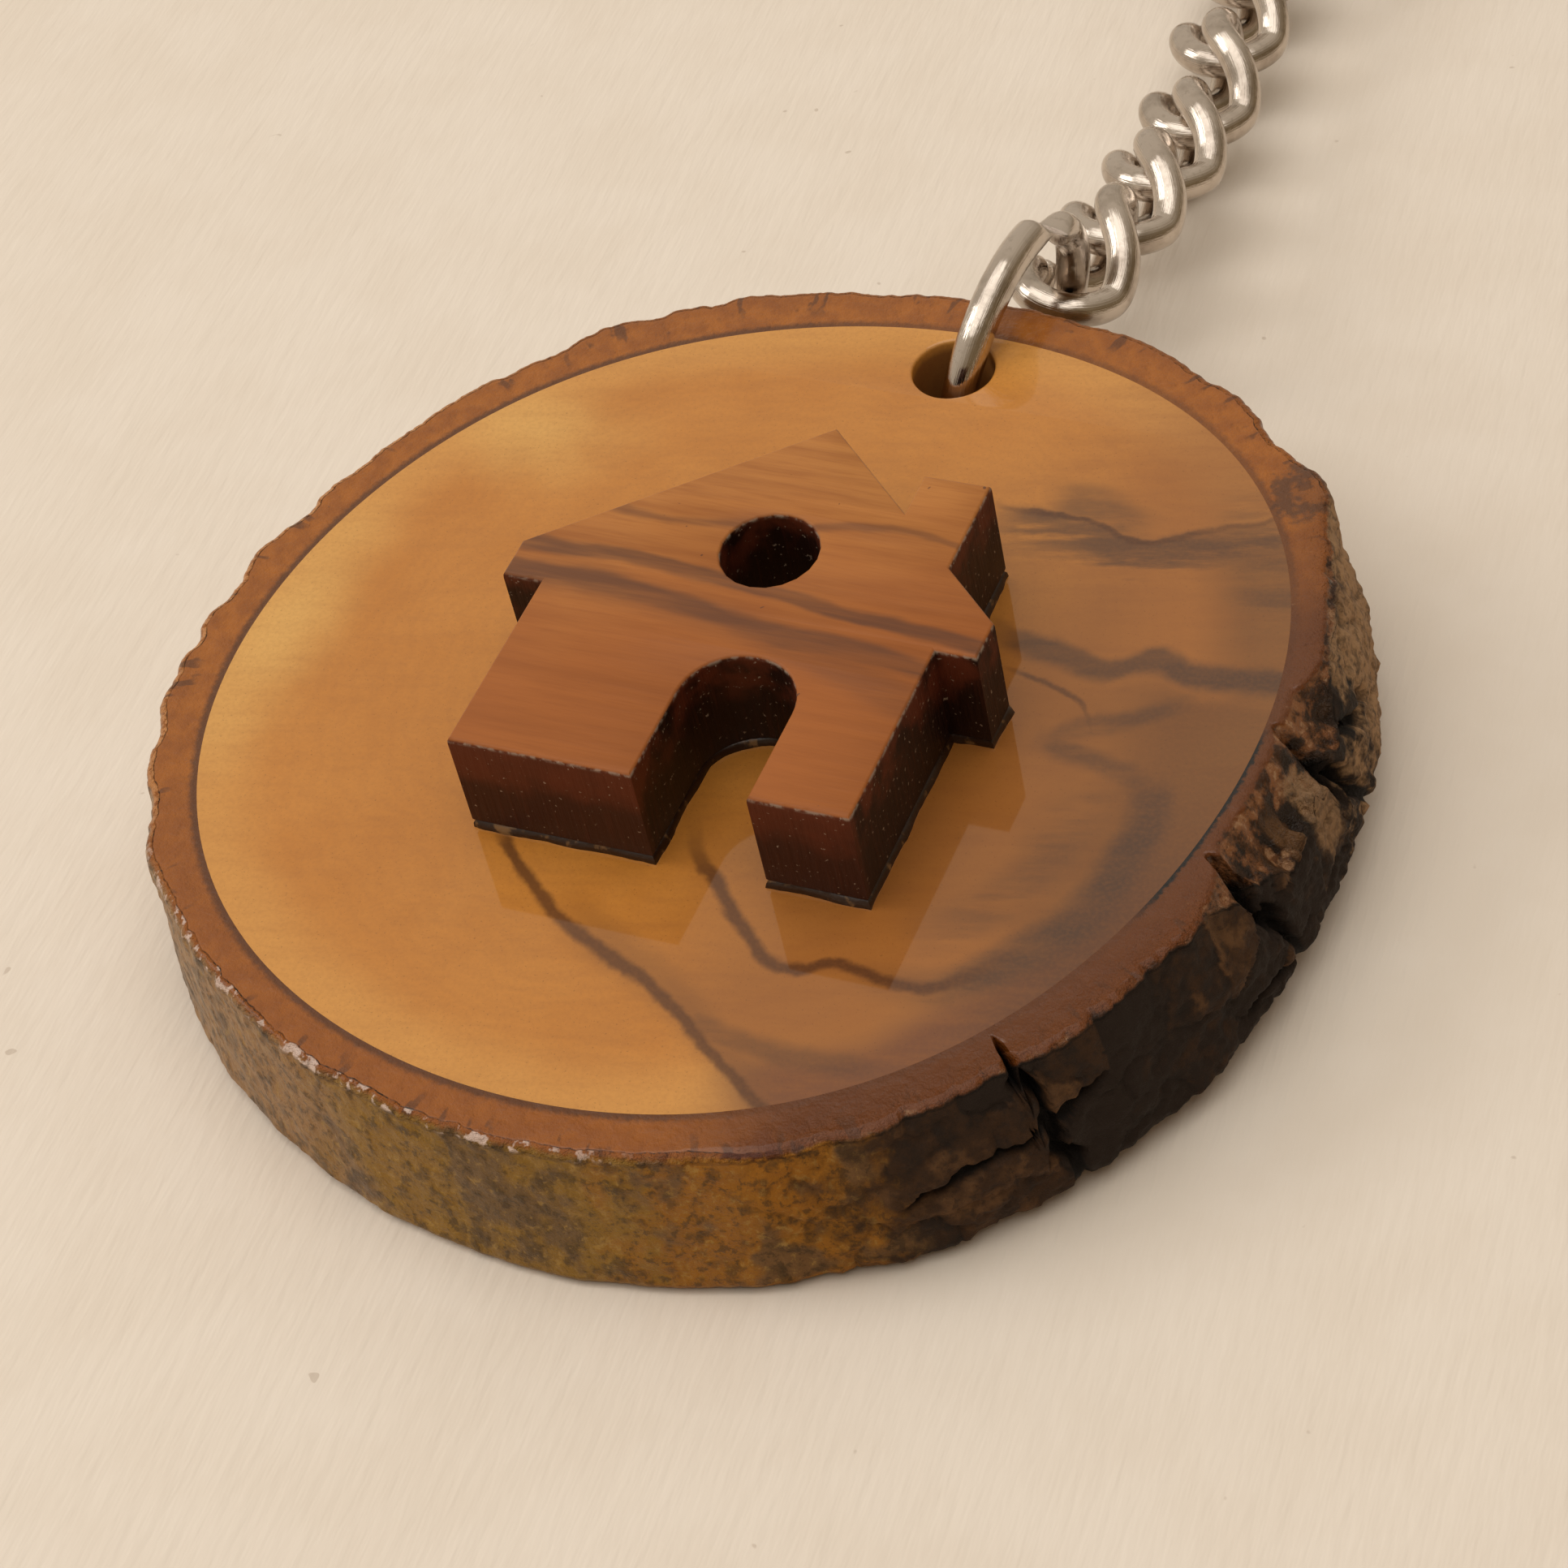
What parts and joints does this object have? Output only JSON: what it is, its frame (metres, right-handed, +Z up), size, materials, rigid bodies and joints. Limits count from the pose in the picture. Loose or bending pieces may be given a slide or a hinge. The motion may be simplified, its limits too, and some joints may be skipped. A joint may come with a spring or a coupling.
{
  "type": "keychain",
  "caption": "Keychain of a bark-edged slice of branch with a small raised wooden house, hung by a wire jump ring and a twisted-link chain from a split ring.",
  "frame": {"origin": "centre of the wood slice's underside", "axes": "+Z up from the table the keychain lies on, +Y from the slice along the chain to the split ring, +X to the right of the upright house. The slice leans 3.6 degrees up towards +Y, on its front edge and on the jump ring that passes under it."},
  "size_m": [0.0509, 0.1156, 0.0146],
  "materials": {
    "olive_wood": "sanded and lacquered, glossy, honey with dark streaks",
    "bark": "rough bark, lacquered on its cut edge",
    "dry_glue": "dried wood glue",
    "cut_board": "orange-brown face with burnt dark cut sides",
    "nickel_steel": "bright nickel plate on drawn wire"
  },
  "bodies": {
    "slice": {"wood_slice": "olive_wood", "bark_ring": "bark", "glue_film": "dry_glue", "house_cutout": "cut_board"},
    "ring": {"jump_ring": "nickel_steel"},
    "link_1": {"chain_link_1": "nickel_steel"},
    "link_2": {"chain_link_2": "nickel_steel"},
    "link_3": {"chain_link_3": "nickel_steel"},
    "link_4": {"chain_link_4": "nickel_steel"},
    "link_5": {"chain_link_5": "nickel_steel"},
    "link_6": {"chain_link_6": "nickel_steel"},
    "key_holder": {"split_ring": "nickel_steel"}
  },
  "joints": [
    {"name": "ring_swings_in_hole", "type": "hinge", "parent": "slice", "child": "ring", "pos_m": [0.00269, 0.01962, 0.00475], "axis": [0, -0.0632, 0.998], "range_deg": [-25, 25]},
    {"name": "link_1_rides_round_ring", "type": "hinge", "parent": "ring", "child": "link_1", "pos_m": [0.00318, 0.02478, 0.00507], "axis": [0.9803, -0.0832, -0.1793], "range_deg": [-15, 50]},
    {"name": "link_2_swings", "type": "hinge", "parent": "link_1", "child": "link_2", "pos_m": [0.00385, 0.03686, 0.00359], "axis": [0, 0.2, 0.9798], "range_deg": [-25, 25]},
    {"name": "link_3_tips", "type": "hinge", "parent": "link_2", "child": "link_3", "pos_m": [0.00385, 0.04117, 0.00271], "axis": [0.9994, 0.0349, 0], "range_deg": [-25, 25]},
    {"name": "link_4_swings", "type": "hinge", "parent": "link_3", "child": "link_4", "pos_m": [0.00352, 0.04903, 0.00147], "axis": [0, 0, 1], "range_deg": [-25, 25]},
    {"name": "link_5_tips", "type": "hinge", "parent": "link_4", "child": "link_5", "pos_m": [0.00321, 0.05342, 0.00147], "axis": [0.9945, 0.1045, 0], "range_deg": [-25, 25]},
    {"name": "link_6_swings", "type": "hinge", "parent": "link_5", "child": "link_6", "pos_m": [0.00231, 0.06137, 0.00147], "axis": [0, 0, 1], "range_deg": [-25, 25]},
    {"name": "split_ring_tips", "type": "hinge", "parent": "link_6", "child": "key_holder", "pos_m": [0.00173, 0.06547, 0.00147], "axis": [0.9903, 0.1392, 0], "range_deg": [-25, 40]}
  ]
}
